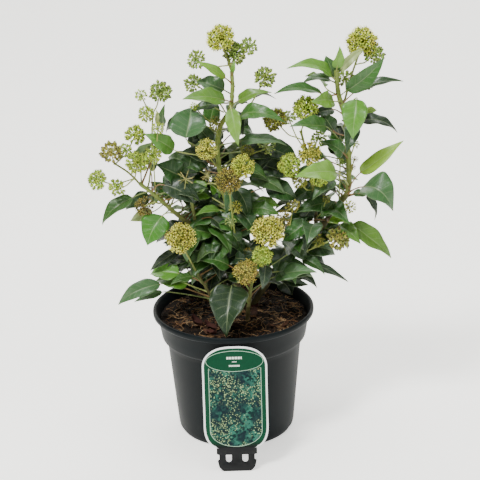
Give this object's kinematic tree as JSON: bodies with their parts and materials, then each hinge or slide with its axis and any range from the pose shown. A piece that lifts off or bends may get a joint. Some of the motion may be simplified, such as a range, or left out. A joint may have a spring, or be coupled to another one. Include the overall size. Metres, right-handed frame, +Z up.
{
  "type": "potted ivy",
  "caption": "Tree-form ivy with upright leafy shoots and round flower umbels, rooted in a round black nursery pot with a leaning plant label.",
  "frame": {"origin": "centre of the pot's flat base, on the surface it stands on", "axes": "+Z up along the pot's axis, -Y towards the front with the leaning label, +X to the right"},
  "size_m": [0.3451, 0.2112, 0.4705],
  "materials": {
    "pot_plastic": "matte black moulded plastic with a soft grey sheen",
    "potting_mix": "loose dark peat with fibres",
    "label_plastic": "thin printed plastic, white border on green",
    "stem_bark": "olive-brown bark, green towards the tips",
    "umbel": "yellow-green florets with dark centres",
    "leaf_young": "soft satin light green",
    "leaf_old": "glossy dark green with pale veins"
  },
  "bodies": {
    "root": {"flowers_front": "umbel", "flowers_inner_right": "umbel", "flowers_left_end": "umbel", "flowers_left_front": "umbel", "flowers_left_low": "umbel", "flowers_left_top": "umbel", "flowers_middle": "umbel", "flowers_middle_left": "umbel", "flowers_middle_right": "umbel", "flowers_right_low": "umbel", "flowers_right_top": "umbel", "flowers_tall_left": "umbel", "flowers_tall_right": "umbel", "flowers_tall_top": "umbel", "leaf_back_01": "leaf_old", "leaf_back_02": "leaf_old", "leaf_back_03": "leaf_old", "leaf_back_04": "leaf_old", "leaf_front_01": "leaf_old", "leaf_front_02": "leaf_old", "leaf_front_03": "leaf_old", "leaf_left_01": "leaf_old", "leaf_left_02": "leaf_young", "leaf_left_03": "leaf_old", "leaf_left_04": "leaf_old", "leaf_low_left_01": "leaf_young", "leaf_low_left_02": "leaf_old", "leaf_right_01": "leaf_young", "leaf_right_02": "leaf_young", "leaf_right_03": "leaf_old", "leaf_right_04": "leaf_young", "leaf_right_05": "leaf_old", "leaf_right_06": "leaf_old", "leaf_right_07": "leaf_young", "leaf_right_08": "leaf_old", "leaf_right_09": "leaf_old", "leaf_right_10": "leaf_old", "leaf_right_11": "leaf_young", "leaf_right_12": "leaf_young", "leaf_right_13": "leaf_old", "leaf_right_14": "leaf_young", "leaf_right_15": "leaf_old", "leaf_tall_01": "leaf_young", "leaf_tall_02": "leaf_old", "leaf_tall_03": "leaf_young", "leaf_tall_04": "leaf_old", "leaf_tall_05": "leaf_young", "leaf_tall_06": "leaf_old", "leaf_tall_07": "leaf_old", "leaf_tall_08": "leaf_old", "leaf_tall_09": "leaf_young", "plant_label": "label_plastic", "pot": "pot_plastic", "potting_mix": "potting_mix", "stem_back": "stem_bark", "stem_front": "stem_bark", "stem_left": "stem_bark", "stem_low_left": "stem_bark", "stem_right": "stem_bark", "stem_tall": "stem_bark"}
  },
  "joints": []
}
